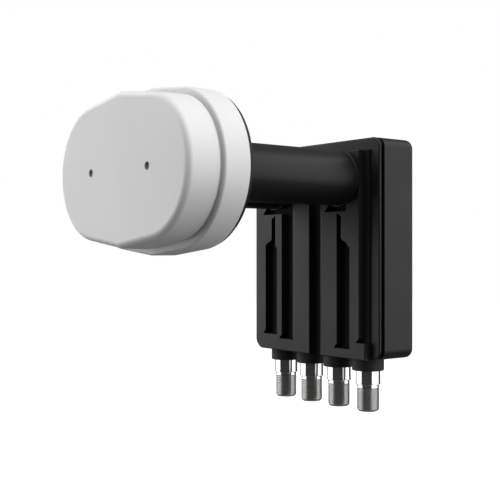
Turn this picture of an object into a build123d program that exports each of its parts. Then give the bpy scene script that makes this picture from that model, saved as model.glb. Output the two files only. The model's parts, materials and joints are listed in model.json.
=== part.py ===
from build123d import *
import os

# Twin-feed satellite converter head (LNB) with four F ports, in millimetres.
# The origin is on the main neck's axis, in the plane of the ribbed front face.
# The feeds look along -Y, +X is to the right seen from the dish, and +Z is up.

os.makedirs("parts", exist_ok=True)

# Necks: two parallel round necks, the main one on the origin
neck_d = 23.0
neck_length = 66.0
neck_wall = 1.3
feed_pitch = 41.5
bead_step = 0.5
bead_length = 0.8
bead_edge_r = 0.4

# Waveguide tubes, cast with the chassis, inside the necks
tube_clearance = 0.15
tube_wall = 1.3
tube_reach = 9.8

# Feed cap: a slightly tapered front part, a narrow groove and a wider flange band
cap_depth = 25.4
cap_arc_offset = 20.2
cap_arc_r = 26.6
cap_ridge_z = 29.5
cap_ridge_r = 3.5
front_growth = 0.3
cap_edge_r = 2.3
cap_wall = 2.2
cap_front_length = 13.2
cap_groove_width = 1.2
cap_groove_depth = 0.9
flange_arc_offset = 18.5
flange_arc_r = 30.0
flange_ridge_z = 32.2
flange_ridge_r = 6.0
flange_edge_r = 0.9
dimple_d = 3.0
dimple_depth = 1.0

# Back cover of the feeds
back_cover_thickness = 2.0
back_cover_inset = 0.7
back_cover_edge_r = 0.45
plug_clearance = 0.15
plug_length = 3.0
plug_wall = 2.2
cap_seal_thickness = 2.0

# Feed horns
horn_wall = 1.5
horn_mouth_d = 38.4
horn_clearance = 0.05
horn_front_gap = 1.8
horn_rim_length = 4.5
horn_flare_length = 8.0
horn_step = 1.7
tube_seal_width = 1.8
tube_seal_length = 2.0

# Housing: front shell and rear cover share one rounded outline
housing_x = -19.5
box_width = 80.4
box_height = 90.8
box_top_z = 15.9
box_corner_r = 4.0
box_face_y = 3.3
box_back_y = 24.0
cover_wall = 2.0
cover_edge_r = 2.2
rim_thickness = 1.0
rim_edge_r = 0.6
seam_width = 2.0
face_wall = 2.5
lip_clearance = 0.15
lip_wall = 1.8
lip_overlap = 3.0

# Ribbed block on the front shell
block_width = 70.0
block_top_z = 11.0
block_edge_r = 0.4
block_corner_r = 3.5
groove_depth = 3.2
shoulder_depth = 1.0
notch_width = 3.4
notch_depth = 2.4
notch_end_z = -68.1

# Grooves: left wall from the housing's middle, width, shoulder on the right wall, lower end
g1_left, g1_width, g1_shoulder, g1_end = -28.8, 6.9, 1.3, -68.0
g2_left, g2_width, g2_shoulder, g2_end = -17.4, 6.5, 2.4, -69.6
g3_left, g3_width, g3_shoulder = 1.1, 6.2, 1.9
g4_left, g4_width, g4_shoulder, g4_end = 18.5, 6.6, 1.2, -71.0
tail_width = 1.8
tail_height = 1.9
narrow_width = 2.6
narrow_top_z = -14.4
narrow_slant = 1.5
s_curve_top_z = -24.2
s_curve_bottom_z = -28.6
shelf_left, shelf_right = -8.6, 4.6
shelf_slant = 2.5
shelf_top_z, shelf_bottom_z = -11.0, -13.9

# F ports
port_count = 4
port_pitch = 17.7
port_y = 10.4
port_thread_d = 9.52
port_collar_d = 10.2
port_ring_d = 10.5
port_relief_d = 8.9
port_stud_d = 8.4
port_stud_length = 4.6
port_bore_d = 7.0
port_bottom_z = -97.2
port_thread_length = 9.9
port_relief_length = 1.4
port_ring_length = 0.5
port_chamfer = 0.9
port_hole_clearance = 0.3
boot_d = 13.4
boot_length = 5.3
boot_edge_r = 0.5
boot_clearance = 0.1
contact_d = 1.0
contact_reach = 6.0
contact_slot_width = 4.0
contact_slot_depth = 3.0
insulator_clearance = 0.05
insulator_recess = 0.8
socket_d = 2.4
socket_length = 9.0
socket_recess = 3.0
entry_d = 1.6

# Chassis, board and shield inside the housing
chassis_gap = 0.6
chassis_thickness = 5.2
port_block_height = 5.0
port_block_back_y = 16.2
board_thickness = 1.6
board_gap = 0.3
chassis_rim = 3.0
pocket_rib = 3.0
pocket_height = 22.0
pocket_depth = 2.4
pocket_middle_z = -25.5
shield_wall = 1.5
shield_height = 5.0
screw_d = 2.5
screw_head_d = 4.4
screw_head_height = 1.6
screw_bite = 3.6
screw_clearance = 0.1
screw_inset = 3.4
post_d = 6.0
# middle x and z on the board, width, height and thickness of each soldered part
component_sizes = (
    (0, -12, 7.0, 7.0, 0.9),
    (-16, 8, 5.0, 5.0, 0.9),
    (16, 8, 5.0, 5.0, 0.9),
    (-14, -20, 6.5, 3.5, 1.6),
    (10, -18, 3.2, 2.5, 0.8),
)

# Places worked out from the sizes above
neck_r = neck_d / 2
neck_back_y = -neck_length
cap_back_y = neck_back_y - back_cover_thickness
cap_face_y = cap_back_y - cap_depth
cap_x = -feed_pitch / 2
neck_xs = {"main": 0.0, "second": -feed_pitch}
sleeve_bore_r = neck_r - neck_wall
tube_r = sleeve_bore_r - tube_clearance
waveguide_r = tube_r - tube_wall
groove_front_y = cap_face_y + cap_front_length
flange_front_y = groove_front_y + cap_groove_width
box_bottom_z = box_top_z - box_height
box_middle_z = (box_top_z + box_bottom_z) / 2
rim_back_y = box_face_y + rim_thickness
cover_front_y = rim_back_y + seam_width
shell_floor_y = box_face_y + face_wall
lip_back_y = cover_front_y + lip_overlap
lip_inset = cover_wall + lip_clearance
lip_inner_inset = lip_inset + lip_wall
block_left = housing_x - block_width / 2
block_right = housing_x + block_width / 2
port_hole_r = port_collar_d / 2 + port_hole_clearance
port_xs = [housing_x + port_pitch * (i - (port_count - 1) / 2) for i in range(port_count)]
chassis_inset = lip_inner_inset + chassis_gap
chassis_width = box_width - 2 * chassis_inset
chassis_height = box_height - 2 * chassis_inset
chassis_bottom_z = box_bottom_z + chassis_inset
chassis_top_z = box_top_z - chassis_inset
chassis_back_y = shell_floor_y + chassis_thickness
board_back_y = chassis_back_y + board_thickness
port_block_top_z = chassis_bottom_z + port_block_height
board_bottom_z = port_block_top_z + board_gap
board_top_z = chassis_top_z - chassis_rim - board_gap
board_width = chassis_width - 2 * (chassis_rim + board_gap)
board_height = board_top_z - board_bottom_z
board_middle_z = (board_top_z + board_bottom_z) / 2
shield_back_y = board_back_y + shield_height
horn_back_y = cap_back_y - tube_seal_length
tube_end_y = neck_back_y - tube_reach
horn_mouth_y = cap_face_y + cap_wall + horn_front_gap


def at_y(y):
    """Plane at this Y with X to the right and Z up; positive extrusions go towards the dish."""
    return Plane.XZ.offset(-y)


def ridged_outline(arc_offset, arc_r, ridge_z, ridge_r, grow):
    """Two round ends joined by straight sides that meet in a soft ridge above and below."""
    with Locations((cap_x - arc_offset, 0), (cap_x + arc_offset, 0)):
        Circle(arc_r + grow)
    with Locations((cap_x, ridge_z - ridge_r), (cap_x, ridge_r - ridge_z)):
        Circle(ridge_r + grow)
    make_hull()


def front_outline(grow):
    """Outline of the cap's flat face, grown or shrunk all round."""
    ridged_outline(cap_arc_offset, cap_arc_r, cap_ridge_z, cap_ridge_r, grow)


def flange_outline(grow):
    """Outline of the cap's wider flange, grown or shrunk all round."""
    ridged_outline(flange_arc_offset, flange_arc_r, flange_ridge_z, flange_ridge_r, grow)


def box_outline(inset):
    """Rounded outline that the front shell and the rear cover share, drawn in by this much."""
    with Locations((housing_x, box_middle_z)):
        RectangleRounded(box_width - 2 * inset, box_height - 2 * inset, max(box_corner_r - inset, 0.5))


def shield_screw_points():
    """Screw places: three down each side of the board and one between the waveguides."""
    across = board_width / 2 - screw_inset
    rows = (board_bottom_z + screw_inset, board_middle_z, -neck_r - screw_inset)
    sides = [(housing_x + side * across, z) for side in (-1, 1) for z in rows]
    return sides + [(cap_x, board_top_z - screw_inset)]


# Feed cap
with BuildPart() as feed_cap:
    with BuildSketch(at_y(groove_front_y)):
        front_outline(front_growth)
    with BuildSketch(at_y(cap_face_y)):
        front_outline(0)
    loft()
    face_edges = feed_cap.faces().sort_by(Axis.Y)[0].edges()
    fillet(face_edges, cap_edge_r)
    with BuildSketch(at_y(flange_front_y)):
        front_outline(front_growth - cap_groove_depth)
    extrude(amount=cap_groove_width)
    with BuildSketch(at_y(cap_back_y)):
        flange_outline(0)
    extrude(amount=cap_back_y - flange_front_y)
    shoulder = feed_cap.faces().filter_by(Plane.XZ).sort_by(Axis.Y)[-2]
    fillet(shoulder.outer_wire().edges(), flange_edge_r)
    with BuildSketch(at_y(flange_front_y + cap_wall)):
        front_outline(front_growth - cap_groove_depth - cap_wall)
    extrude(amount=flange_front_y - cap_face_y, mode=Mode.SUBTRACT)
    with BuildSketch(at_y(cap_back_y)):
        flange_outline(-cap_wall)
    extrude(amount=cap_back_y - flange_front_y - cap_wall, mode=Mode.SUBTRACT)
    with BuildSketch(at_y(cap_face_y)):
        with Locations(*[(x, 0) for x in neck_xs.values()]):
            Circle(dimple_d / 2)
    extrude(amount=-dimple_depth, mode=Mode.SUBTRACT)
feed_cap.part.label = "feed_cap"
export_step(feed_cap.part, "parts/feed_cap.step")

# Back cover of the feeds
with BuildPart() as feed_back_cover:
    with BuildSketch(at_y(neck_back_y)):
        flange_outline(-back_cover_inset)
    extrude(amount=back_cover_thickness)
    rim = feed_back_cover.faces().sort_by(Axis.Y)[-1].edges()
    fillet(rim, back_cover_edge_r)
    with BuildSketch(at_y(cap_back_y)):
        flange_outline(-cap_wall - plug_clearance)
    extrude(amount=plug_length)
    with BuildSketch(at_y(cap_back_y)):
        flange_outline(-cap_wall - plug_clearance - plug_wall)
    extrude(amount=plug_length, mode=Mode.SUBTRACT)
    with BuildSketch(at_y(neck_back_y)):
        with Locations(*[(x, 0) for x in neck_xs.values()]):
            Circle(tube_r + tube_clearance)
    extrude(amount=back_cover_thickness, mode=Mode.SUBTRACT)
feed_back_cover.part.label = "feed_back_cover"
export_step(feed_back_cover.part, "parts/feed_back_cover.step")

# Flat gasket between the plug and the cap's shoulder
with BuildPart() as cap_seal:
    with BuildSketch(at_y(cap_back_y - plug_length)):
        flange_outline(-cap_wall - plug_clearance)
    extrude(amount=cap_seal_thickness)
    with BuildSketch(at_y(cap_back_y - plug_length)):
        flange_outline(-cap_wall - plug_clearance - plug_wall)
    extrude(amount=cap_seal_thickness, mode=Mode.SUBTRACT)
cap_seal.part.label = "cap_seal"
export_step(cap_seal.part, "parts/cap_seal.step")

# Neck sleeves, feed horns and tube seals, one set for each feed
for side, neck_x in neck_xs.items():
    with BuildPart() as neck_sleeve:
        with BuildSketch(at_y(0)):
            with Locations((neck_x, 0)):
                Circle(neck_r)
        extrude(amount=neck_length)
        with BuildSketch(at_y(0)):
            with Locations((neck_x, 0)):
                Circle(neck_r + bead_step)
        extrude(amount=bead_length)
        with BuildSketch(at_y(0)):
            with Locations((neck_x, 0)):
                Circle(sleeve_bore_r)
        extrude(amount=neck_length, mode=Mode.SUBTRACT)
        bead_edge = neck_sleeve.edges().filter_by(GeomType.CIRCLE).filter_by(
            lambda e: abs(e.center().Y + bead_length) < 0.01 and e.radius > neck_r
        )
        fillet(bead_edge, bead_edge_r)
    neck_sleeve.part.label = f"{side}_neck_sleeve"
    export_step(neck_sleeve.part, f"parts/{side}_neck_sleeve.step")

    mouth_r = horn_mouth_d / 2
    socket_r = tube_r + horn_clearance
    hub_r = socket_r + horn_wall
    hub_front_y = tube_end_y - horn_wall
    flare_back_y = horn_mouth_y + horn_rim_length + horn_flare_length - horn_step
    flare_front_y = horn_mouth_y + horn_rim_length
    with BuildPart() as feed_horn:
        with BuildSketch(Plane((neck_x, 0, 0), x_dir=(1, 0, 0), z_dir=(0, 0, 1))):
            with BuildLine():
                Polyline(
                    (socket_r, horn_back_y),
                    (hub_r, horn_back_y),
                    (hub_r, flare_back_y),
                    (mouth_r, flare_front_y),
                    (mouth_r, horn_mouth_y),
                    (mouth_r - horn_wall, horn_mouth_y),
                    (mouth_r - horn_wall, flare_front_y - horn_wall / 2),
                    (waveguide_r, hub_front_y),
                    (waveguide_r, tube_end_y),
                    (socket_r, tube_end_y),
                    close=True,
                )
            make_face()
        revolve(axis=Axis((neck_x, 0, 0), (0, 1, 0)))
    feed_horn.part.label = f"{side}_feed_horn"
    export_step(feed_horn.part, f"parts/{side}_feed_horn.step")

    with BuildPart() as tube_seal:
        with BuildSketch(at_y(cap_back_y)):
            with Locations((neck_x, 0)):
                Circle(tube_r + horn_clearance + tube_seal_width)
                Circle(tube_r + horn_clearance, mode=Mode.SUBTRACT)
        extrude(amount=tube_seal_length)
    tube_seal.part.label = f"{side}_tube_seal"
    export_step(tube_seal.part, f"parts/{side}_tube_seal.step")

# Front shell: ribbed block, rim, recessed lip and the openings for tubes and ports
with BuildPart() as front_housing:
    with BuildSketch(at_y(rim_back_y)):
        box_outline(0)
    extrude(amount=rim_thickness)
    fillet(front_housing.faces().sort_by(Axis.Y)[0].edges(), rim_edge_r)
    with BuildSketch(at_y(lip_back_y)):
        box_outline(lip_inset)
    extrude(amount=lip_back_y - rim_back_y)
    with BuildSketch(at_y(box_face_y)) as block_outline:
        with Locations(((block_left + block_right) / 2, (box_bottom_z + block_top_z) / 2)):
            Rectangle(block_width, block_top_z - box_bottom_z)
        lower_left = block_outline.vertices().sort_by(Axis.X)[:2].sort_by(Axis.Y)[0]
        fillet(lower_left, block_corner_r)
    extrude(amount=box_face_y)
    block_edges = front_housing.faces().sort_by(Axis.Y)[0].edges()
    fillet(block_edges, block_edge_r)
    # cavity behind the front wall
    with BuildSketch(at_y(lip_back_y)):
        box_outline(lip_inner_inset)
    extrude(amount=lip_back_y - shell_floor_y, mode=Mode.SUBTRACT)
    # grooves with upright walls and a soft shoulder along the right one
    for left, width, shoulder, end, top in (
        (g1_left, g1_width, g1_shoulder, g1_end, s_curve_bottom_z),
        (g2_left, g2_width, g2_shoulder, g2_end, block_top_z),
        (g3_left, g3_width, g3_shoulder, box_bottom_z, block_top_z),
        (g4_left, g4_width, g4_shoulder, g4_end, s_curve_bottom_z),
    ):
        x = housing_x + left
        right = x + width
        with BuildSketch(Plane.XY.offset(end)):
            with BuildLine():
                Polyline(
                    (x, 0),
                    (x, groove_depth),
                    (right, groove_depth),
                    (right, shoulder_depth),
                    (right + shoulder, 0),
                    close=True,
                )
            make_face()
        extrude(amount=top - end, mode=Mode.SUBTRACT)
    # narrow upper ends of the outer grooves, opening out on one side through an S-curve
    for shared, far_wide, far_narrow in (
        (g1_left + g1_width, g1_left, g1_left + g1_width - narrow_width),
        (g4_left, g4_left + g4_width, g4_left + narrow_width),
    ):
        straight_x = housing_x + shared
        wide_x = housing_x + far_wide
        narrow_x = housing_x + far_narrow
        with BuildSketch(at_y(0)):
            with BuildLine():
                Polyline(
                    (wide_x, s_curve_bottom_z),
                    (straight_x, s_curve_bottom_z),
                    (straight_x, narrow_top_z),
                    (narrow_x, narrow_top_z - narrow_slant),
                    (narrow_x, s_curve_top_z),
                )
                Spline(
                    (narrow_x, s_curve_top_z),
                    (wide_x, s_curve_bottom_z),
                    tangents=((0, -1), (0, -1)),
                )
            make_face()
        extrude(amount=-groove_depth, mode=Mode.SUBTRACT)
    # small flares at the lower left corners of the grooves that end on the block
    with BuildSketch(at_y(0)):
        for left, end in ((g1_left, g1_end), (g2_left, g2_end), (g4_left, g4_end)):
            x = housing_x + left
            with BuildLine():
                Polyline((x, end), (x, end + tail_height), (x - tail_width, end), close=True)
            make_face()
    extrude(amount=-groove_depth, mode=Mode.SUBTRACT)
    # shelf slots under the two necks, slanted at their left end
    with BuildSketch(at_y(0)):
        for neck_x in neck_xs.values():
            with BuildLine():
                Polyline(
                    (neck_x + shelf_left + shelf_slant, shelf_top_z),
                    (neck_x + shelf_right, shelf_top_z),
                    (neck_x + shelf_right, shelf_bottom_z),
                    (neck_x + shelf_left, shelf_bottom_z),
                    close=True,
                )
            make_face()
    extrude(amount=-groove_depth, mode=Mode.SUBTRACT)
    # notch along the block's right edge, with the same flare
    with BuildSketch(at_y(0)):
        notch_x = block_right - notch_width
        with BuildLine():
            Polyline(
                (block_right, block_top_z),
                (block_right, notch_end_z),
                (notch_x - tail_width, notch_end_z),
                (notch_x, notch_end_z + tail_height),
                (notch_x, block_top_z),
                close=True,
            )
        make_face()
    extrude(amount=-notch_depth, mode=Mode.SUBTRACT)
    # solid seats under the necks, where grooves pass behind them
    with BuildSketch(at_y(groove_depth)):
        with Locations(*[(x, 0) for x in neck_xs.values()]):
            Circle(neck_r)
    extrude(amount=groove_depth)
    # openings for the waveguide tubes
    with BuildSketch(at_y(shell_floor_y)):
        with Locations(*[(x, 0) for x in neck_xs.values()]):
            Circle(tube_r + tube_clearance)
    extrude(amount=shell_floor_y, mode=Mode.SUBTRACT)
    # openings for the ports
    with BuildSketch(Plane.XY.offset(box_bottom_z)):
        with Locations(*[(x, port_y) for x in port_xs]):
            Circle(port_hole_r)
    extrude(amount=chassis_inset, mode=Mode.SUBTRACT)
front_housing.part.label = "front_housing"
export_step(front_housing.part, "parts/front_housing.step")

# Rear cover
with BuildPart() as rear_cover:
    with BuildSketch(at_y(box_back_y)):
        box_outline(0)
    extrude(amount=box_back_y - cover_front_y)
    fillet(rear_cover.faces().sort_by(Axis.Y)[-1].edges(), cover_edge_r)
    with BuildSketch(at_y(box_back_y - cover_wall)):
        box_outline(cover_wall)
    extrude(amount=box_back_y - cover_wall - cover_front_y, mode=Mode.SUBTRACT)
    with BuildSketch(Plane.XY.offset(box_bottom_z)):
        with Locations(*[(x, port_y) for x in port_xs]):
            Circle(port_hole_r)
        for x in port_xs:
            with Locations((x, port_y - port_hole_r / 2)):
                Rectangle(2 * port_hole_r, port_hole_r)
    extrude(amount=cover_wall, mode=Mode.SUBTRACT)
rear_cover.part.label = "rear_cover"
export_step(rear_cover.part, "parts/rear_cover.step")

# Chassis: one casting with both waveguide tubes, the board bay and the port block
screw_points = shield_screw_points()
with BuildPart() as chassis:
    with BuildSketch(at_y(chassis_back_y)):
        with Locations((housing_x, (chassis_bottom_z + chassis_top_z) / 2)):
            Rectangle(chassis_width, chassis_height)
    extrude(amount=chassis_thickness)
    # rim round the board
    with BuildSketch(at_y(board_back_y)):
        with Locations((housing_x, (chassis_bottom_z + chassis_top_z) / 2)):
            Rectangle(chassis_width, chassis_height)
        with Locations((housing_x, board_middle_z)):
            Rectangle(board_width + 2 * board_gap, board_height + 2 * board_gap, mode=Mode.SUBTRACT)
    extrude(amount=board_thickness)
    # block that carries the ports
    with BuildSketch(at_y(port_block_back_y)):
        with Locations((housing_x, (chassis_bottom_z + port_block_top_z) / 2)):
            Rectangle(chassis_width, port_block_height)
    extrude(amount=port_block_back_y - chassis_back_y)
    # waveguide tubes
    with BuildSketch(at_y(shell_floor_y)):
        with Locations(*[(x, 0) for x in neck_xs.values()]):
            Circle(tube_r)
    extrude(amount=shell_floor_y - tube_end_y)
    with BuildSketch(at_y(chassis_back_y)):
        with Locations(*[(x, 0) for x in neck_xs.values()]):
            Circle(waveguide_r)
    extrude(amount=chassis_back_y - tube_end_y, mode=Mode.SUBTRACT)
    # stud holes for the ports, and slots for their contacts
    with BuildSketch(Plane.XY.offset(chassis_bottom_z)):
        with Locations(*[(x, port_y) for x in port_xs]):
            Circle(port_stud_d / 2 + boot_clearance)
    extrude(amount=port_block_height, mode=Mode.SUBTRACT)
    with BuildSketch(at_y(chassis_back_y)):
        for x in port_xs:
            with Locations((x, port_block_top_z + contact_reach / 2)):
                Rectangle(contact_slot_width, contact_reach + 2 * contact_d)
    extrude(amount=contact_slot_depth, mode=Mode.SUBTRACT)
    # lower pocket that lightens the casting behind the front shell
    with BuildSketch(at_y(shell_floor_y)):
        with GridLocations(chassis_width / 2 - pocket_rib / 2, 0, 2, 1):
            with Locations((housing_x, pocket_middle_z)):
                Rectangle(chassis_width / 2 - 2 * pocket_rib, pocket_height)
    extrude(amount=-pocket_depth, mode=Mode.SUBTRACT)
    # threaded holes for the shield screws
    with BuildSketch(at_y(chassis_back_y)):
        with Locations(*screw_points):
            Circle(screw_d / 2 + screw_clearance)
    extrude(amount=screw_bite + screw_clearance, mode=Mode.SUBTRACT)
chassis.part.label = "chassis"
export_step(chassis.part, "parts/chassis.step")

# Circuit board
with BuildPart() as circuit_board:
    with BuildSketch(at_y(board_back_y)):
        with Locations((housing_x, board_middle_z)):
            Rectangle(board_width, board_height)
        with Locations(*screw_points):
            Circle(screw_d / 2 + screw_clearance, mode=Mode.SUBTRACT)
    extrude(amount=board_thickness)
circuit_board.part.label = "circuit_board"
export_step(circuit_board.part, "parts/circuit_board.step")

# Cast shield over the board, with a blind cup behind each waveguide
with BuildPart() as board_shield:
    with BuildSketch(at_y(shield_back_y)):
        with Locations((housing_x, board_middle_z)):
            Rectangle(board_width, board_height)
    extrude(amount=shield_height)
    with BuildSketch(at_y(shield_back_y - shield_wall)):
        with Locations((housing_x, board_middle_z)):
            Rectangle(board_width - 2 * shield_wall, board_height - 2 * shield_wall)
        with Locations(*screw_points):
            Circle(post_d / 2, mode=Mode.SUBTRACT)
        with Locations(*[(x, 0) for x in neck_xs.values()]):
            Circle(waveguide_r + shield_wall, mode=Mode.SUBTRACT)
            Circle(waveguide_r)
        with Locations((housing_x, board_middle_z)):
            Rectangle(board_width, shield_wall, mode=Mode.SUBTRACT)
    extrude(amount=shield_height - shield_wall, mode=Mode.SUBTRACT)
    with BuildSketch(at_y(shield_back_y)):
        with Locations(*screw_points):
            Circle(screw_d / 2 + screw_clearance)
    extrude(amount=shield_height, mode=Mode.SUBTRACT)
board_shield.part.label = "board_shield"
export_step(board_shield.part, "parts/board_shield.step")

# Shield screws, through the shield and the board into the chassis
with BuildPart() as shield_screws:
    with BuildSketch(at_y(shield_back_y + screw_head_height)):
        with Locations(*screw_points):
            Circle(screw_head_d / 2)
    extrude(amount=screw_head_height)
    with BuildSketch(at_y(shield_back_y)):
        with Locations(*screw_points):
            Circle(screw_d / 2)
    extrude(amount=shield_height + board_thickness + screw_bite)
shield_screws.part.label = "shield_screws"
export_step(shield_screws.part, "parts/shield_screws.step")

# Parts soldered to the back of the board: switch, two converters, regulator and crystal
with BuildPart() as board_components:
    for x, z, width, height, thickness in component_sizes:
        with BuildSketch(at_y(board_back_y + thickness)):
            with Locations((housing_x + x, board_middle_z + z)):
                Rectangle(width, height)
        extrude(amount=thickness)
board_components.part.label = "board_components"
export_step(board_components.part, "parts/board_components.step")

# F ports: threaded body, insulator, centre contact and rubber boot for each
thread_r = port_thread_d / 2
bore_r = port_bore_d / 2
collar_r = port_collar_d / 2
thread_top_z = port_bottom_z + port_thread_length
relief_top_z = thread_top_z + port_relief_length
ring_top_z = relief_top_z + port_ring_length
stud_top_z = chassis_bottom_z + port_stud_length
insulator_bottom_z = port_bottom_z + insulator_recess
insulator_top_z = stud_top_z
socket_bottom_z = insulator_bottom_z + socket_recess
socket_top_z = socket_bottom_z + socket_length
contact_r = contact_d / 2
socket_r = socket_d / 2
for number, port_x in enumerate(port_xs, start=1):
    port_plane = Plane((port_x, port_y, 0), x_dir=(1, 0, 0), z_dir=(0, -1, 0))
    port_axis = Axis((port_x, port_y, 0), (0, 0, 1))
    with BuildPart() as port_body:
        with BuildSketch(port_plane):
            with BuildLine():
                Polyline(
                    (bore_r, port_bottom_z),
                    (thread_r - port_chamfer, port_bottom_z),
                    (thread_r, port_bottom_z + port_chamfer),
                    (thread_r, thread_top_z),
                    (port_relief_d / 2, thread_top_z),
                    (port_relief_d / 2, relief_top_z),
                    (port_ring_d / 2, relief_top_z),
                    (port_ring_d / 2, ring_top_z),
                    (collar_r, ring_top_z),
                    (collar_r, chassis_bottom_z),
                    (port_stud_d / 2, chassis_bottom_z),
                    (port_stud_d / 2, stud_top_z),
                    (bore_r, stud_top_z),
                    close=True,
                )
            make_face()
        revolve(axis=port_axis)
    port_body.part.label = f"port_body_{number}"
    export_step(port_body.part, f"parts/port_body_{number}.step")

    with BuildPart() as port_insulator:
        with BuildSketch(port_plane):
            with BuildLine():
                Polyline(
                    (entry_d / 2, insulator_bottom_z),
                    (bore_r - insulator_clearance, insulator_bottom_z),
                    (bore_r - insulator_clearance, insulator_top_z),
                    (contact_r + insulator_clearance, insulator_top_z),
                    (contact_r + insulator_clearance, socket_top_z + insulator_clearance),
                    (socket_r + insulator_clearance, socket_top_z + insulator_clearance),
                    (socket_r + insulator_clearance, socket_bottom_z),
                    (entry_d / 2, socket_bottom_z),
                    close=True,
                )
            make_face()
        revolve(axis=port_axis)
    port_insulator.part.label = f"port_insulator_{number}"
    export_step(port_insulator.part, f"parts/port_insulator_{number}.step")

    with BuildPart() as port_contact:
        with BuildSketch(port_plane):
            with BuildLine():
                Polyline(
                    (contact_r, socket_bottom_z),
                    (socket_r, socket_bottom_z),
                    (socket_r, socket_top_z),
                    (contact_r, socket_top_z),
                    (contact_r, port_block_top_z + contact_reach),
                    (0, port_block_top_z + contact_reach),
                    (0, socket_top_z - contact_d),
                    (contact_r, socket_top_z - contact_d),
                    close=True,
                )
            make_face()
        revolve(axis=port_axis)
    port_contact.part.label = f"port_contact_{number}"
    export_step(port_contact.part, f"parts/port_contact_{number}.step")

    with BuildPart() as port_boot:
        with BuildSketch(Plane.XY.offset(box_bottom_z)):
            with Locations((port_x, port_y)):
                Circle(boot_d / 2)
                Circle(collar_r + boot_clearance, mode=Mode.SUBTRACT)
        extrude(amount=-boot_length)
        lower_edge = port_boot.faces().sort_by(Axis.Z)[0].outer_wire().edges()
        fillet(lower_edge, boot_edge_r)
    port_boot.part.label = f"port_boot_{number}"
    export_step(port_boot.part, f"parts/port_boot_{number}.step")
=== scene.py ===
# %% [markdown]
# # A satellite converter head, dressed for a studio picture
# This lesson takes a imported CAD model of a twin-feed converter and makes it look real.
# The converter has a pale feed cap, two black necks, a ribbed black housing and four
# threaded ports. The shapes come from the CAD, so most of the work is light, surface
# finish and the one thing that the CAD leaves out: the fine thread on the ports.

# %% Load the fixed frame
import json
import math
import bpy
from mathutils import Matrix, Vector

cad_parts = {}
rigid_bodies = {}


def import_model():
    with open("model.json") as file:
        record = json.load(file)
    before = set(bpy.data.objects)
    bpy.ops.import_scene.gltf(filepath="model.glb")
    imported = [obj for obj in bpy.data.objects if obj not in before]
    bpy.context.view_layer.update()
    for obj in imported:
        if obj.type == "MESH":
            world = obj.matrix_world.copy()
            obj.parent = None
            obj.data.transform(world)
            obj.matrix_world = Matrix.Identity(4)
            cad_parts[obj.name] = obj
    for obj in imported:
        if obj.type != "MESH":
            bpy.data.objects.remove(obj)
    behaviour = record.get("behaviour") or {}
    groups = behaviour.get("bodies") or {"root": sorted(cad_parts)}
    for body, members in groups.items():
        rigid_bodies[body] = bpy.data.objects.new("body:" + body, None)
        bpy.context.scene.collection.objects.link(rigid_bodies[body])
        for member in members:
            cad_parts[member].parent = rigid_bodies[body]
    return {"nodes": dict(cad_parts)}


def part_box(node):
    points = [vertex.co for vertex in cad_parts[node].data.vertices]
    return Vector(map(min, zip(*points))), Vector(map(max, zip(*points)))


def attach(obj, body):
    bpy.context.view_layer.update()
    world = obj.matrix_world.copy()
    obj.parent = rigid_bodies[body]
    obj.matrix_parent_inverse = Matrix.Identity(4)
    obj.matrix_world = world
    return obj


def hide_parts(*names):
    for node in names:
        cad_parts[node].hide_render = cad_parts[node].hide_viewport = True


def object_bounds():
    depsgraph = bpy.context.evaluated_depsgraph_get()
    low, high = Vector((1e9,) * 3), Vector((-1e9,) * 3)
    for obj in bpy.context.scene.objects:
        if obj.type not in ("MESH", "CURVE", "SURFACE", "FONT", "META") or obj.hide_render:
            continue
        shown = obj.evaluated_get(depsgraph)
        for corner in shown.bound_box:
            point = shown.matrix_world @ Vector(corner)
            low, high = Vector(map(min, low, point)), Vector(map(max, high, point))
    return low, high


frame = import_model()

cad_low, cad_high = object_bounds()
nodes = frame["nodes"]
print("loaded", len(nodes), "CAD nodes, box", [round(v, 4) for v in cad_high - cad_low])

# %% [markdown]
# ## Camera
# The photograph looks at the converter from its right and at the height of its middle,
# almost level, so upright edges stay parallel. A long lens keeps the far end of the
# housing nearly as tall as the near one. Place, turn and lens are plain numbers here,
# because a camera that is aimed by a constraint is harder to match to a picture.

# %% Camera
camera_data = bpy.data.cameras.new("camera")
camera = bpy.data.objects.new("camera", camera_data)
bpy.context.collection.objects.link(camera)
tilt_degrees, round_degrees = 90.138, 52.101
camera.location = (0.28964, -0.27215, -0.03095)
camera.rotation_euler = (math.radians(tilt_degrees), 0, math.radians(round_degrees))
camera_data.sensor_width = 36.0
camera_data.lens = 68.19
bpy.context.scene.camera = camera
print("camera", round(camera.location.length, 3), "m from the main neck's root")

# %% [markdown]
# ## Small helpers for shader trees
# A shader tree is easier to read when adding a node and joining it to others take one
# line each. `add` makes a node and sets its values by socket name or attribute name,
# and `join` links an output to an input.


# %% Helpers for shader trees
def add(tree, kind, **values):
    made = tree.nodes.new(kind)
    for key, value in values.items():
        if hasattr(made, key):
            setattr(made, key, value)
        else:
            made.inputs[key.replace("_", " ")].default_value = value
    made.location = (220 * (len(tree.nodes) % 9), -200 * (len(tree.nodes) // 9))
    return made


def join(tree, source, output, target, socket):
    tree.links.new(source.outputs[output], target.inputs[socket])


def new_group(name, inputs, outputs):
    """A shader node group with named sockets: each input has a kind and a starting value."""
    tree = bpy.data.node_groups.new(name, "ShaderNodeTree")
    for label, (kind, start) in inputs.items():
        socket = tree.interface.new_socket(name=label, in_out="INPUT", socket_type=kind)
        if start is not None:
            socket.default_value = start
    for label, kind in outputs.items():
        tree.interface.new_socket(name=label, in_out="OUTPUT", socket_type=kind)
    return tree, tree.nodes.new("NodeGroupInput"), tree.nodes.new("NodeGroupOutput")


NUMBER, VECTOR = "NodeSocketFloat", "NodeSocketVector"

# %% [markdown]
# ## Shared effect: moulded grain
# Plastic housings are moulded in steel tools whose faces are spark-eroded, which leaves
# a fine leathery grain. Two sizes of noise give it: a coarse one for the pits and a fine
# one on top. The group puts out a height for bump and a speckle for colour, so each
# plastic can use the same grain at its own strength.

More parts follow.
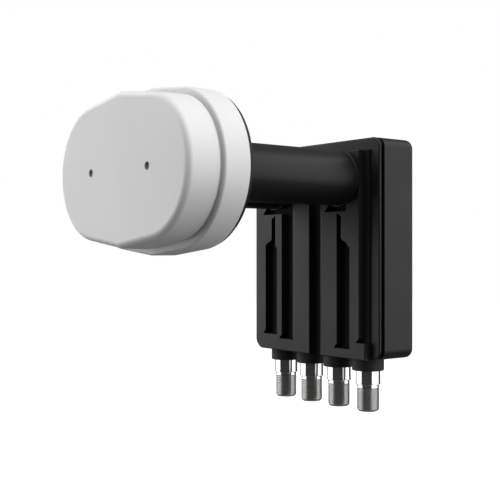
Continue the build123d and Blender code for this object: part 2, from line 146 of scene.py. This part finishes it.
# %% Moulded grain group
grain_tree, g_in, g_out = new_group(
    "Moulded grain",
    {"Place": (VECTOR, None), "Pits per metre": (NUMBER, 2600.0), "Fine share": (NUMBER, 0.35)},
    {"Height": NUMBER, "Speckle": NUMBER},
)
fine_to_coarse = 3.7
speckle_from, speckle_to = 0.42, 0.62
pits = add(grain_tree, "ShaderNodeTexNoise", Detail=3.0, Roughness=0.55)
join(grain_tree, g_in, "Place", pits, "Vector")
join(grain_tree, g_in, "Pits per metre", pits, "Scale")
finer = add(grain_tree, "ShaderNodeMath", operation="MULTIPLY")
finer.inputs[1].default_value = fine_to_coarse
join(grain_tree, g_in, "Pits per metre", finer, 0)
fine = add(grain_tree, "ShaderNodeTexNoise", Detail=2.0, Roughness=0.6)
join(grain_tree, g_in, "Place", fine, "Vector")
join(grain_tree, finer, 0, fine, "Scale")
blend = add(grain_tree, "ShaderNodeMix", data_type="FLOAT")
join(grain_tree, g_in, "Fine share", blend, "Factor")
join(grain_tree, pits, "Fac", blend, "A")
join(grain_tree, fine, "Fac", blend, "B")
join(grain_tree, blend, "Result", g_out, "Height")
speck = add(grain_tree, "ShaderNodeMapRange", interpolation_type="SMOOTHSTEP")
speck.inputs["From Min"].default_value = speckle_from
speck.inputs["From Max"].default_value = speckle_to
join(grain_tree, fine, "Fac", speck, "Value")
join(grain_tree, speck, "Result", g_out, "Speckle")
print("group", grain_tree.name, "has", len(grain_tree.nodes), "nodes")

# %% [markdown]
# ## Shared effect: slow change
# No moulded or cast surface has one colour all over. The melt flows and cools unevenly,
# and hands leave faint dull patches. One broad noise, stretched between a low and a high
# value, stands for both. It drives colour in one material and gloss in another.

# %% Slow change group
slow_tree, s_in, s_out = new_group(
    "Slow change",
    {
        "Place": (VECTOR, None),
        "Patches per metre": (NUMBER, 30.0),
        "Low": (NUMBER, 0.0),
        "High": (NUMBER, 1.0),
    },
    {"Value": NUMBER},
)
noise_low, noise_high = 0.32, 0.68
patches = add(slow_tree, "ShaderNodeTexNoise", Detail=4.0, Roughness=0.5)
join(slow_tree, s_in, "Place", patches, "Vector")
join(slow_tree, s_in, "Patches per metre", patches, "Scale")
spread = add(slow_tree, "ShaderNodeMapRange")
spread.inputs["From Min"].default_value = noise_low
spread.inputs["From Max"].default_value = noise_high
join(slow_tree, patches, "Fac", spread, "Value")
join(slow_tree, s_in, "Low", spread, "To Min")
join(slow_tree, s_in, "High", spread, "To Max")
join(slow_tree, spread, "Result", s_out, "Value")
print("group", slow_tree.name, "has", len(slow_tree.nodes), "nodes")

# %% [markdown]
# ## Shared effect: lathe lines
# Turned metal keeps fine rings where the cutting tool passed. A noise that is squashed
# across the part's axis gives them: it changes quickly with height and hardly at all
# round the part. All turned pieces here stand upright, so height is the object's Z.

# %% Lathe lines group
lathe_tree, l_in, l_out = new_group(
    "Lathe lines",
    {"Place": (VECTOR, None), "Lines per metre": (NUMBER, 9000.0)},
    {"Height": NUMBER},
)
across = 0.03
squash = add(lathe_tree, "ShaderNodeMapping")
squash.inputs["Scale"].default_value = (across, across, 1.0)
join(lathe_tree, l_in, "Place", squash, "Vector")
rings = add(lathe_tree, "ShaderNodeTexNoise", Detail=2.0, Roughness=0.7)
join(lathe_tree, squash, "Vector", rings, "Vector")
join(lathe_tree, l_in, "Lines per metre", rings, "Scale")
join(lathe_tree, rings, "Fac", l_out, "Height")
print("group", lathe_tree.name, "has", len(lathe_tree.nodes), "nodes")

# %% [markdown]
# ## Materials
# Every finish here is a Principled shader with colour, roughness and bump that change
# over the surface. `start_material` sets up what they share: the shader, the object's own
# coordinates, and a colour that moves between two near shades under the slow change.


# %% What the materials share
def start_material(name, shade_a, shade_b, patches_per_metre=30.0):
    material = bpy.data.materials.new(name)
    material.use_nodes = True
    tree = material.node_tree
    tree.nodes.clear()
    surface = add(tree, "ShaderNodeBsdfPrincipled")
    output = add(tree, "ShaderNodeOutputMaterial")
    join(tree, surface, "BSDF", output, "Surface")
    place = add(tree, "ShaderNodeTexCoord")
    slow = add(tree, "ShaderNodeGroup", node_tree=slow_tree)
    slow.inputs["Patches per metre"].default_value = patches_per_metre
    join(tree, place, "Object", slow, "Place")
    colour = add(tree, "ShaderNodeMix", data_type="RGBA")
    colour.inputs["A"].default_value = (*shade_a, 1)
    colour.inputs["B"].default_value = (*shade_b, 1)
    join(tree, slow, "Value", colour, "Factor")
    join(tree, colour, "Result", surface, "Base Color")
    return material, tree, surface, place, colour


def varying_roughness(tree, surface, place, low, high, patches_per_metre):
    """Lets the gloss drift between two values, as handling and moulding leave it."""
    slow = add(tree, "ShaderNodeGroup", node_tree=slow_tree)
    slow.inputs["Patches per metre"].default_value = patches_per_metre
    slow.inputs["Low"].default_value = low
    slow.inputs["High"].default_value = high
    join(tree, place, "Object", slow, "Place")
    join(tree, slow, "Value", surface, "Roughness")


def bump(tree, surface, source, output, depth):
    """Dents the surface by a height signal, with the depth in metres."""
    dent = add(tree, "ShaderNodeBump")
    dent.inputs["Strength"].default_value = 1.0
    dent.inputs["Distance"].default_value = depth
    join(tree, source, output, dent, "Height")
    join(tree, dent, "Normal", surface, "Normal")


# %% A plastic from a few values
def moulded_plastic(name, shade_a, shade_b, rough, pits, depth, speckle, gloss=0.5):
    """Roughness is a (low, high) pair, pits are counted per metre, depth is in metres."""
    material, tree, surface, place, colour = start_material(name, shade_a, shade_b)
    grain = add(tree, "ShaderNodeGroup", node_tree=grain_tree)
    grain.inputs["Pits per metre"].default_value = pits
    join(tree, place, "Object", grain, "Place")
    bump(tree, surface, grain, "Height", depth)
    varying_roughness(tree, surface, place, *rough, patches_per_metre=45.0)
    surface.inputs["Specular IOR Level"].default_value = gloss
    fleck = add(tree, "ShaderNodeMix", data_type="RGBA", blend_type="MULTIPLY")
    fleck.inputs["Factor"].default_value = 1.0
    dark = add(tree, "ShaderNodeMapRange")
    dark.inputs["To Min"].default_value = 1.0 - speckle
    dark.inputs["To Max"].default_value = 1.0
    join(tree, grain, "Speckle", dark, "Value")
    join(tree, colour, "Result", fleck, "A")
    join(tree, dark, "Result", fleck, "B")
    join(tree, fleck, "Result", surface, "Base Color")
    return material


# %% [markdown]
# ## Plastics and rubber
# The feed cap is a light grey plastic that radio waves pass through. It has a very fine
# grain and a soft satin gloss. The housing is black with a coarser grain, and the necks
# are smoother, because a clamp slides on them. Boots and gaskets are dull rubber.

# %% Plastics and rubber
def grey(value, blue=0.0):
    return (value, value, value + blue)


cap_plastic = moulded_plastic(
    "cap_plastic", grey(0.635), grey(0.655, -0.003),
    rough=(0.42, 0.5), pits=2400.0, depth=0.00001, speckle=0.03,
)
black_plastic = moulded_plastic(
    "black_plastic", grey(0.006, 0.0002), grey(0.008, 0.0002),
    rough=(0.4, 0.48), pits=2200.0, depth=0.00003, speckle=0.25, gloss=0.22,
)
neck_plastic = moulded_plastic(
    "neck_plastic", grey(0.006, 0.0002), grey(0.008, 0.0002),
    rough=(0.36, 0.44), pits=3400.0, depth=0.000008, speckle=0.15, gloss=0.21,
)
boot_rubber = moulded_plastic(
    "boot_rubber", grey(0.012), grey(0.018),
    rough=(0.6, 0.72), pits=1800.0, depth=0.00002, speckle=0.3, gloss=0.35,
)
seal_rubber = moulded_plastic(
    "seal_rubber", grey(0.02), grey(0.03),
    rough=(0.65, 0.8), pits=1500.0, depth=0.00003, speckle=0.2, gloss=0.35,
)
insulator_plastic = moulded_plastic(
    "insulator_plastic", grey(0.78, -0.02), grey(0.83, -0.02),
    rough=(0.35, 0.45), pits=3000.0, depth=0.000008, speckle=0.03,
)
component_plastic = moulded_plastic(
    "component_plastic", grey(0.02, 0.002), grey(0.03, 0.002),
    rough=(0.55, 0.65), pits=5000.0, depth=0.00001, speckle=0.2,
)
print("plastics:", [m.name for m in (cap_plastic, black_plastic, neck_plastic, boot_rubber)])

# %% [markdown]
# ## Patches of painted shade and of another finish
# A few places of one material differ from the rest: painted shade in the dimples, painted
# shade and more roughness on the groove floors and on the thread. Each could be a material of
# its own, but that would need the mesh cut up.
# A mask from a place on the object is simpler: it is 1 on the patch and 0 elsewhere, and
# mixes another colour or roughness in.


# %% Helpers for patches
def main_shader(material):
    return next(n for n in material.node_tree.nodes if n.type == "BSDF_PRINCIPLED")


def fade(tree, source, output, none_at, full_at):
    """A soft mask: 0 where the value is none_at, 1 where it is full_at."""
    mask = add(tree, "ShaderNodeMapRange", interpolation_type="SMOOTHSTEP")
    mask.inputs["From Min"].default_value = none_at
    mask.inputs["From Max"].default_value = full_at
    join(tree, source, output, mask, "Value")
    return mask


def mix_in(tree, surface, socket, mask, output, value, **mode):
    """Puts value in place of what feeds the shader's socket, as far as the mask says."""
    before = surface.inputs[socket].links[0].from_socket
    kind = "FLOAT" if isinstance(value, float) else "RGBA"
    mixed = add(tree, "ShaderNodeMix", data_type=kind, **mode)
    join(tree, mask, output, mixed, "Factor")
    tree.links.new(before, mixed.inputs["A"])
    mixed.inputs["B"].default_value = value
    join(tree, mixed, "Result", surface, socket)


# %% [markdown]
# ## Painted shade in the cap's dimples
# The two dimples on the cap's face sit in front of the feeds. The shade in them is painted:
# a dark patch the size of a dimple, placed on each feed's axis, darkens the cap's colour
# there. Only the distance from the axis counts, so the patch goes straight through the wall,
# where nobody sees it.

# %% Painted shade in the dimples
feed_axes_x = (0.0, -0.0415)
shade_edge_r, shade_full_r = 0.0019, 0.0013
dimple_painted_shade = (0.5, 0.5, 0.5, 1)
c_tree = cap_plastic.node_tree
c_place = add(c_tree, "ShaderNodeTexCoord")
c_flat = add(c_tree, "ShaderNodeVectorMath", operation="MULTIPLY")
c_flat.inputs[1].default_value = (1, 0, 1)
join(c_tree, c_place, "Object", c_flat, 0)
nearest = add(c_tree, "ShaderNodeMath", operation="MINIMUM")
for number, feed_x in enumerate(feed_axes_x):
    away = add(c_tree, "ShaderNodeVectorMath", operation="DISTANCE")
    away.inputs[1].default_value = (feed_x, 0, 0)
    join(c_tree, c_flat, 0, away, 0)
    join(c_tree, away, "Value", nearest, number)
# painted shade: the cap's colour is darkened inside each dimple
dimple_shade_mask = fade(c_tree, nearest, 0, shade_edge_r, shade_full_r)
cap_surface = main_shader(cap_plastic)
mix_in(c_tree, cap_surface, "Base Color", dimple_shade_mask, "Result", dimple_painted_shade, blend_type="MULTIPLY")
print("cap_plastic has", len(c_tree.nodes), "nodes")

# %% [markdown]
# ## Groove floors: rougher, with painted shade
# The tool that moulds the housing has thin ribs for the grooves. Nobody can polish between
# them, so the plastic comes out rougher at the bottom of a groove. The floors' colour is also
# darkened there as painted shade, for the shade at the bottom of the narrow grooves.
# The block's front face is at zero depth and the rim's face is a tenth of a millimetre
# behind the deepest floors, so a narrow band of depth picks out the floors alone.

# %% Groove floors with painted shade
wall_depth, floor_depth = 0.0016, 0.0021
behind_floors, deepest_floor = 0.00328, 0.00322
k_tree = black_plastic.node_tree
k_place = add(k_tree, "ShaderNodeTexCoord")
k_split = add(k_tree, "ShaderNodeSeparateXYZ")
join(k_tree, k_place, "Object", k_split, 0)
below_walls = fade(k_tree, k_split, "Y", wall_depth, floor_depth)
before_rim = fade(k_tree, k_split, "Y", behind_floors, deepest_floor)
floor_shade_and_rough = add(k_tree, "ShaderNodeMath", operation="MULTIPLY")
join(k_tree, below_walls, "Result", floor_shade_and_rough, 0)
join(k_tree, before_rim, "Result", floor_shade_and_rough, 1)
black_surface = main_shader(black_plastic)
# painted shade: the groove floors' colour is darkened; the roughness below is real finish
mix_in(k_tree, black_surface, "Base Color", floor_shade_and_rough, 0, (*grey(0.003), 1))
mix_in(k_tree, black_surface, "Roughness", floor_shade_and_rough, 0, 0.8)
print("black_plastic has", len(k_tree.nodes), "nodes")

# %% [markdown]
# ## Metals
# The ports are turned brass with bright nickel on top: a mirror-like finish with faint
# rings. The castings inside are raw metal with a sandy skin, and the screws are plated
# steel. All of them are full metals, so their colour is the colour of their reflections.


# %% Metals
def metal(name, shade_a, shade_b, rough, depth, lines=None):
    """A bare metal. With a number of lines per metre it is turned, and without it is cast."""
    material, tree, surface, place, _ = start_material(name, shade_a, shade_b, 120.0)
    surface.inputs["Metallic"].default_value = 1.0
    varying_roughness(tree, surface, place, *rough, patches_per_metre=160.0)
    if lines:
        effect = add(tree, "ShaderNodeGroup", node_tree=lathe_tree)
        effect.inputs["Lines per metre"].default_value = lines
    else:
        effect = add(tree, "ShaderNodeGroup", node_tree=grain_tree)
        effect.inputs["Pits per metre"].default_value = 1600.0
    join(tree, place, "Object", effect, "Place")
    bump(tree, surface, effect, "Height", depth)
    return material


port_nickel = metal(
    "port_nickel", (0.60, 0.597, 0.59), (0.64, 0.637, 0.63),
    rough=(0.07, 0.13), depth=0.0000002, lines=7000.0,
)
contact_brass = metal(
    "contact_brass", (0.74, 0.60, 0.33), (0.80, 0.66, 0.38),
    rough=(0.2, 0.3), depth=0.000003, lines=6000.0,
)
cast_metal = metal(
    "cast_metal", (0.50, 0.50, 0.50), (0.58, 0.58, 0.57),
    rough=(0.42, 0.55), depth=0.00005,
)
screw_steel = metal(
    "screw_steel", (0.56, 0.56, 0.54), (0.62, 0.62, 0.60),
    rough=(0.22, 0.34), depth=0.000004, lines=5000.0,
)
print("metals:", [m.name for m in (port_nickel, contact_brass, cast_metal, screw_steel)])

# %% [markdown]
# ## Rough threads with painted shade on bright nickel
# The threaded lower end gets a higher roughness than the smooth collar above, and a darker
# colour that is painted shade over the thread.
# A mask that fades in just below the thread's upper end mixes both changes in.

# %% Rough threads with painted shade
plain_above, shade_and_rough_below = -0.0872, -0.0876
n_tree = port_nickel.node_tree
n_place = add(n_tree, "ShaderNodeTexCoord")
n_split = add(n_tree, "ShaderNodeSeparateXYZ")
join(n_tree, n_place, "Object", n_split, 0)
thread_shade_and_rough = fade(n_tree, n_split, "Z", plain_above, shade_and_rough_below)
port_surface = main_shader(port_nickel)
# painted shade: the thread's colour is darkened; the roughness below is real finish
mix_in(n_tree, port_surface, "Base Color", thread_shade_and_rough, "Result", (0.55, 0.547, 0.54, 1))
mix_in(n_tree, port_surface, "Roughness", thread_shade_and_rough, "Result", 0.27)
print("port_nickel has", len(n_tree.nodes), "nodes")

# %% [markdown]
# ## Circuit board
# The board can't be seen from outside, but it still deserves its finish for anyone who
# opens the housing. A laminate is woven glass in resin under a green lacquer, so a fine
# weave goes into the bump and the lacquer gives it a coat.

# %% Circuit board
board_laminate, b_tree, b_surface, b_place, _ = start_material(
    "board_laminate", (0.018, 0.10, 0.045), (0.03, 0.15, 0.06), 60.0
)
strands_per_metre = 500.0
weave_x = add(b_tree, "ShaderNodeTexWave", bands_direction="X")
weave_z = add(b_tree, "ShaderNodeTexWave", bands_direction="Z")
weave = add(b_tree, "ShaderNodeMath", operation="ADD")
for number, thread_wave in enumerate((weave_x, weave_z)):
    thread_wave.inputs["Scale"].default_value = strands_per_metre
    join(b_tree, b_place, "Object", thread_wave, "Vector")
    join(b_tree, thread_wave, "Fac", weave, number)
bump(b_tree, b_surface, weave, 0, depth=0.000006)
varying_roughness(b_tree, b_surface, b_place, 0.3, 0.4, patches_per_metre=80.0)
b_surface.inputs["Coat Weight"].default_value = 0.4
print("board_laminate has", len(b_tree.nodes), "nodes")

# %% [markdown]
# ## Who wears what
# Each node of the CAD is one real piece, so it gets one finish. A table from node to
# material is easier to check against the parts list than a long run of assignments. The
# four ports are built alike, so a loop fills in their rows.

# %% Give the CAD nodes their materials
finishes = {
    "feed_cap": cap_plastic,
    "feed_back_cover": black_plastic,
    "cap_seal": seal_rubber,
    "main_neck_sleeve": neck_plastic,
    "second_neck_sleeve": neck_plastic,
    "main_feed_horn": cast_metal,
    "second_feed_horn": cast_metal,
    "main_tube_seal": seal_rubber,
    "second_tube_seal": seal_rubber,
    "front_housing": black_plastic,
    "rear_cover": black_plastic,
    "chassis": cast_metal,
    "circuit_board": board_laminate,
    "board_shield": cast_metal,
    "shield_screws": screw_steel,
    "board_components": component_plastic,
}
port_numbers = (1, 2, 3, 4)
for number in port_numbers:
    finishes[f"port_body_{number}"] = port_nickel
    finishes[f"port_insulator_{number}"] = insulator_plastic
    finishes[f"port_contact_{number}"] = contact_brass
    finishes[f"port_boot_{number}"] = boot_rubber
for name, material in finishes.items():
    for slot in nodes[name].material_slots:
        slot.material = material
print("dressed", len(finishes), "of", len(nodes), "nodes")

# %% [markdown]
# ## Threaded ports
# The CAD keeps each port's thread as a smooth cylinder at the crest. Here it becomes a
# real one. A hand modeller would turn the plain body first, then wind one small tooth
# round it. The body starts as a circle whose edge ring is extruded and resized from step
# to step of its outline. The tooth starts as a small plane that the Screw modifier winds
# into a helix. One is made and the other three are copied from it.

# %% Sizes of a port, in metres
low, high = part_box("port_body_1")
port_x, port_y = (low.x + high.x) / 2, (low.y + high.y) / 2
port_bottom, port_top = low.z, high.z
crest_r = 0.00476
root_r = 0.00427
pitch = 0.0254 / 32
bore_r = 0.0035
thread_length = 0.0099
thread_top = port_bottom + thread_length
turns = round(thread_length / pitch, 1)
print("port 1 at", round(port_x, 5), round(port_y, 5), "with", turns, "turns")


# %% Modelling helpers
seam_gap = 1e-6


def deselect_everything():
    if bpy.context.mode != "OBJECT":
        bpy.ops.object.mode_set(mode="OBJECT")
    bpy.ops.object.select_all(action="DESELECT")


def take(piece):
    deselect_everything()
    piece.select_set(True)
    bpy.context.view_layer.objects.active = piece


def turn_outline(name, outline, sides):
    """Extrudes and resizes a ring from point to point of a closed outline of (radius, height)."""
    deselect_everything()
    radius, height = outline[0]
    centre = (port_x, port_y, height)
    bpy.ops.mesh.primitive_circle_add(vertices=sides, radius=radius, location=centre)
    piece = bpy.context.active_object
    piece.name = name
    bpy.ops.object.mode_set(mode="EDIT")
    bpy.ops.mesh.select_mode(type="EDGE")
    bpy.ops.mesh.select_all(action="SELECT")
    for next_radius, next_height in outline[1:] + outline[:1]:
        rise = (0, 0, next_height - height)
        bpy.ops.mesh.extrude_region_move(TRANSFORM_OT_translate={"value": rise})
        ratio = next_radius / radius
        centre = (port_x, port_y, next_height)
        bpy.ops.transform.resize(value=(ratio, ratio, 1), center_override=centre)
        radius, height = next_radius, next_height
    bpy.ops.mesh.select_all(action="SELECT")
    bpy.ops.mesh.remove_doubles(threshold=seam_gap)
    bpy.ops.mesh.normals_make_consistent(inside=False)
    bpy.ops.object.mode_set(mode="OBJECT")
    return piece


def apply_boolean(piece, other, operation):
    """Joins or cuts piece with another closed mesh, then deletes the other."""
    cut = piece.modifiers.new("cut", "BOOLEAN")
    cut.operation = operation
    cut.solver = "EXACT"
    cut.object = other
    take(piece)
    bpy.ops.object.modifier_apply(modifier="cut")
    bpy.data.objects.remove(other)


# %% Sizes of the plain body
stud_r, collar_r, ring_r = 0.0042, 0.0051, 0.00525
relief_r, shoulder_r = 0.0043, 0.0046
chamfer, edge_break, thread_run_in = 0.0009, 0.0001, 0.0002
shoulder_top = thread_top + 0.001
relief_top = thread_top + 0.0014
ring_top = relief_top + 0.0005
stud_bottom = port_top - 0.0046
print("ring from", round(relief_top, 5), "to", round(ring_top, 5))

# %% Turn the plain body
body_outline = [
    (bore_r, port_bottom),
    (crest_r - chamfer, port_bottom),
    (root_r, port_bottom + chamfer - (crest_r - root_r)),
    (root_r, thread_top - thread_run_in),
    (shoulder_r, thread_top),
    (shoulder_r, shoulder_top - edge_break),
    (shoulder_r - edge_break, shoulder_top),
    (relief_r, shoulder_top),
    (relief_r, relief_top),
    (ring_r - edge_break, relief_top),
    (ring_r, relief_top + edge_break),
    (ring_r, ring_top - edge_break),
    (ring_r - edge_break, ring_top),
    (collar_r, ring_top),
    (collar_r, stud_bottom),
    (stud_r, stud_bottom),
    (stud_r, port_top),
    (bore_r, port_top),
]
sides_round = 64
port = turn_outline("threaded_port_1", body_outline, sides_round)
print("plain port body:", len(port.data.vertices), "vertices")

# %% Sizes of the tooth
tooth_foot_r = root_r - 0.00007
foot_width, crest_width = 0.94 * pitch, 0.125 * pitch
turns_to_wind = 15
helix_gap = 1e-7
print("tooth", round(1000 * foot_width, 3), "mm wide at its foot")

# %% Shape the tooth's outline
deselect_everything()
tooth_place = (port_x, port_y, port_bottom - pitch)
upright = (math.pi / 2, 0, 0)
bpy.ops.mesh.primitive_plane_add(size=1, location=tooth_place, rotation=upright)
tooth = bpy.context.active_object
tooth.name = "tooth"
bpy.ops.object.transform_apply(location=False, rotation=True, scale=True)
bpy.ops.object.mode_set(mode="EDIT")
middle = (crest_r + tooth_foot_r) / 2
bpy.ops.transform.resize(value=(crest_r - tooth_foot_r, 1, foot_width))
bpy.ops.transform.translate(value=(middle, 0, 0))
bpy.ops.mesh.select_all(action="DESELECT")
bpy.ops.object.mode_set(mode="OBJECT")
for vertex in tooth.data.vertices:
    vertex.select = vertex.co.x > middle
bpy.ops.object.mode_set(mode="EDIT")
bpy.ops.transform.resize(value=(1, 1, crest_width / foot_width))
bpy.ops.mesh.select_all(action="SELECT")
bpy.ops.mesh.delete(type="ONLY_FACE")
bpy.ops.object.mode_set(mode="OBJECT")
print("tooth outline:", len(tooth.data.vertices), "vertices")

# %% Wind it round the body
wind = tooth.modifiers.new("wind", "SCREW")
wind.axis = "Z"
wind.angle = math.tau
wind.screw_offset = pitch
wind.iterations = turns_to_wind
wind.steps = wind.render_steps = sides_round
wind.use_normal_calculate = True
bpy.ops.object.modifier_apply(modifier="wind")
bpy.ops.object.mode_set(mode="EDIT")
bpy.ops.mesh.select_all(action="SELECT")
bpy.ops.mesh.remove_doubles(threshold=helix_gap)
bpy.ops.mesh.select_all(action="SELECT")
bpy.ops.mesh.fill_holes(sides=4)
bpy.ops.mesh.select_all(action="SELECT")
bpy.ops.mesh.normals_make_consistent(inside=False)
bpy.ops.object.mode_set(mode="OBJECT")
print("thread tooth:", len(tooth.data.vertices), "vertices")

# %% [markdown]
# The helix runs past both ends, as a rolled thread does before it is trimmed. A turned
# envelope with a chamfer at the bottom and a run-out at the top trims it, and then body
# and tooth become one closed mesh.

# %% Trim the tooth and join it to the body
inner_r = tooth_foot_r - 0.0008
first_thread = port_bottom + 0.00035
run_out_start, run_out_end = thread_top - 0.0004, thread_top - 0.0001
envelope_outline = [
    (inner_r, first_thread),
    (crest_r - 0.00055, first_thread),
    (crest_r, port_bottom + chamfer),
    (crest_r, run_out_start),
    (root_r, run_out_end),
    (inner_r, run_out_end),
]
envelope = turn_outline("envelope", envelope_outline, sides_round)
apply_boolean(tooth, envelope, "INTERSECT")
apply_boolean(port, tooth, "UNION")
print("threaded port:", len(port.data.vertices), "vertices")

# %% [markdown]
# Where two curved surfaces meet at a shallow angle, a Boolean leaves points almost on top
# of each other and faces without area. They don't show, but they spoil a printed or cut
# copy, so they are merged within half a thousandth of a millimetre.

# %% Clean the joined mesh
merge_distance = 5e-7
take(port)
bpy.ops.object.mode_set(mode="EDIT")
bpy.ops.mesh.select_all(action="SELECT")
bpy.ops.mesh.remove_doubles(threshold=merge_distance)
bpy.ops.mesh.select_all(action="SELECT")
bpy.ops.mesh.dissolve_degenerate(threshold=2 * merge_distance)
bpy.ops.mesh.select_all(action="SELECT")
bpy.ops.mesh.normals_make_consistent(inside=False)
bpy.ops.object.mode_set(mode="OBJECT")
print("cleaned port:", len(port.data.vertices), "vertices")

# %% Finish the first port and copy it
sharpest_smooth_angle = math.radians(32)
take(port)
bpy.ops.object.transform_apply(location=True, rotation=True, scale=True)
bpy.ops.object.shade_smooth_by_angle(angle=sharpest_smooth_angle)
port.data.materials.clear()
port.data.materials.append(port_nickel)
ports = [port]
for number in port_numbers[1:]:
    copy = port.copy()
    copy.data = port.data.copy()
    copy.name = f"threaded_port_{number}"
    bpy.context.collection.objects.link(copy)
    new_low, new_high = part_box(f"port_body_{number}")
    copy.location.x = (new_low.x + new_high.x) / 2 - port_x
    take(copy)
    bpy.ops.object.transform_apply(location=True, rotation=True, scale=True)
    ports.append(copy)
for number, piece in zip(port_numbers, ports):
    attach(piece, "root")
    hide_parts(f"port_body_{number}")
print("ports:", [piece.name for piece in ports])

# %% [markdown]
# ## Floor
# The photograph was cut out on white, so the set is white too. The floor lies well below
# the converter, so its soft shadow falls mostly outside the picture. Near the object the
# lamps make it white. Further out, where their light fades, a growing glow keeps it white
# up to the horizon. Only the camera sees it so pale: for bounced light it is a dark grey,
# which keeps the underside of the cap and the necks as dark as in the photograph.

# %% What only the camera sees
def straight_view(tree):
    """A mask that is 1 where the camera looks straight at a surface, or through glass."""
    rays = add(tree, "ShaderNodeLightPath")
    either = add(tree, "ShaderNodeMath", operation="MAXIMUM")
    join(tree, rays, "Is Camera Ray", either, 0)
    join(tree, rays, "Is Transmission Ray", either, 1)
    return either


# %% Lay the floor
floor_size, floor_height = 8, -0.32
deselect_everything()
bpy.ops.mesh.primitive_plane_add(size=floor_size, location=(0, 0, floor_height))
floor = bpy.context.active_object
floor.name = "floor"
print("floor", round(cad_low.z - floor.location.z, 3), "m below the ports")

# %% Floor paper
glow_starts, glow_full = 0.1, 0.9
least_glow, most_glow = 0.2, 1.0
seen_shade, bounced_shade = (*grey(0.82), 1), (*grey(0.15), 1)
floor_paper = bpy.data.materials.new("floor_paper")
floor_paper.use_nodes = True
f_tree = floor_paper.node_tree
f_tree.nodes.clear()
paper = add(f_tree, "ShaderNodeBsdfDiffuse")
paper.inputs["Color"].default_value = seen_shade
lift = add(f_tree, "ShaderNodeEmission")
f_place = add(f_tree, "ShaderNodeTexCoord")
distance = add(f_tree, "ShaderNodeVectorMath", operation="LENGTH")
join(f_tree, f_place, "Object", distance, 0)
glow = add(f_tree, "ShaderNodeMapRange", interpolation_type="SMOOTHSTEP")
glow.inputs["From Min"].default_value = glow_starts
glow.inputs["From Max"].default_value = glow_full
glow.inputs["To Min"].default_value = least_glow
glow.inputs["To Max"].default_value = most_glow
join(f_tree, distance, "Value", glow, "Value")
join(f_tree, glow, "Result", lift, "Strength")
both = add(f_tree, "ShaderNodeAddShader")
join(f_tree, paper, "BSDF", both, 0)
join(f_tree, lift, "Emission", both, 1)
grey_paper = add(f_tree, "ShaderNodeBsdfDiffuse")
grey_paper.inputs["Color"].default_value = bounced_shade
pick = add(f_tree, "ShaderNodeMixShader")
join(f_tree, straight_view(f_tree), 0, pick, "Fac")
join(f_tree, grey_paper, "BSDF", pick, 1)
join(f_tree, both, "Shader", pick, 2)
f_out = add(f_tree, "ShaderNodeOutputMaterial")
join(f_tree, pick, "Shader", f_out, "Surface")
floor.data.materials.append(floor_paper)
print("floor_paper has", len(f_tree.nodes), "nodes")

# %% [markdown]
# ## World
# The camera sees plain white, as in the cut-out photograph. Everything else sees a dim
# room with a faint glow from its ceiling, so that bright metal keeps a dark middle and
# black plastic stays black. Nearly all light on the object comes from the softboxes.

# %% World
wall_top, ceiling_full = 0.15, 0.6
wall_light, ceiling_light = 0.02, 0.22
world = bpy.data.worlds.new("studio")
bpy.context.scene.world = world
world.use_nodes = True
w_tree = world.node_tree
w_tree.nodes.clear()
seen = add(w_tree, "ShaderNodeBackground")
seen.inputs["Color"].default_value = (1, 1, 1, 1)
seen.inputs["Strength"].default_value = 1.0
room = add(w_tree, "ShaderNodeBackground")
room.inputs["Color"].default_value = (1, 1, 1, 1)
direction = add(w_tree, "ShaderNodeTexCoord")
split = add(w_tree, "ShaderNodeSeparateXYZ")
join(w_tree, direction, "Generated", split, 0)
ceiling = add(w_tree, "ShaderNodeMapRange", interpolation_type="SMOOTHSTEP")
ceiling.inputs["From Min"].default_value = wall_top
ceiling.inputs["From Max"].default_value = ceiling_full
ceiling.inputs["To Min"].default_value = wall_light
ceiling.inputs["To Max"].default_value = ceiling_light
join(w_tree, split, "Z", ceiling, "Value")
join(w_tree, ceiling, "Result", room, "Strength")
for_camera = add(w_tree, "ShaderNodeMixShader")
join(w_tree, straight_view(w_tree), 0, for_camera, "Fac")
join(w_tree, room, "Background", for_camera, 1)
join(w_tree, seen, "Background", for_camera, 2)
w_out = add(w_tree, "ShaderNodeOutputWorld")
join(w_tree, for_camera, "Shader", w_out, "Surface")
print("world", world.name, "has", len(w_tree.nodes), "nodes")

# %% [markdown]
# ## Lamps
# Three softboxes light the converter. A large one at the front left lights the cap's face
# and the ribbed block. One at the right and behind lights the cap's side, the necks and the
# housing's side. One above rounds off the top. Each is set by its direction, its size and
# its brightness, because a big box at a low level gives wide, soft reflections in black
# plastic without burning out the pale cap.


# %% Lamps
middle_of_part = (cad_low + cad_high) / 2


def softbox(name, toward, distance, size, brightness):
    """A lamp of size (width, height) that looks back at the part from a direction."""
    width, height = size
    data = bpy.data.lights.new(name, "AREA")
    data.shape = "RECTANGLE"
    data.size, data.size_y = width, height
    data.energy = brightness * math.pi * width * height
    lamp = bpy.data.objects.new(name, data)
    bpy.context.collection.objects.link(lamp)
    toward = Vector(toward).normalized()
    lamp.location = middle_of_part + toward * distance
    lamp.rotation_mode = "QUATERNION"
    lamp.rotation_quaternion = toward.to_track_quat("Z", "Y")
    print(name, "gives", round(data.energy, 2), "W")


softbox("left_front_softbox", (-0.80, -0.58, 0.15), distance=0.9, size=(1.4, 1.7), brightness=2.1)
softbox("right_rear_softbox", (0.8, 0.55, 0.3), distance=0.9, size=(1.6, 1.6), brightness=2.05)
softbox("top_softbox", (0.2, -0.2, 0.95), distance=0.85, size=(1.0, 1.0), brightness=1.95)

# %% [markdown]
# ## Colour handling
# The Standard view shows colours as they are written, without a film curve.

# %% Colour handling
bpy.context.scene.view_settings.view_transform = "Standard"
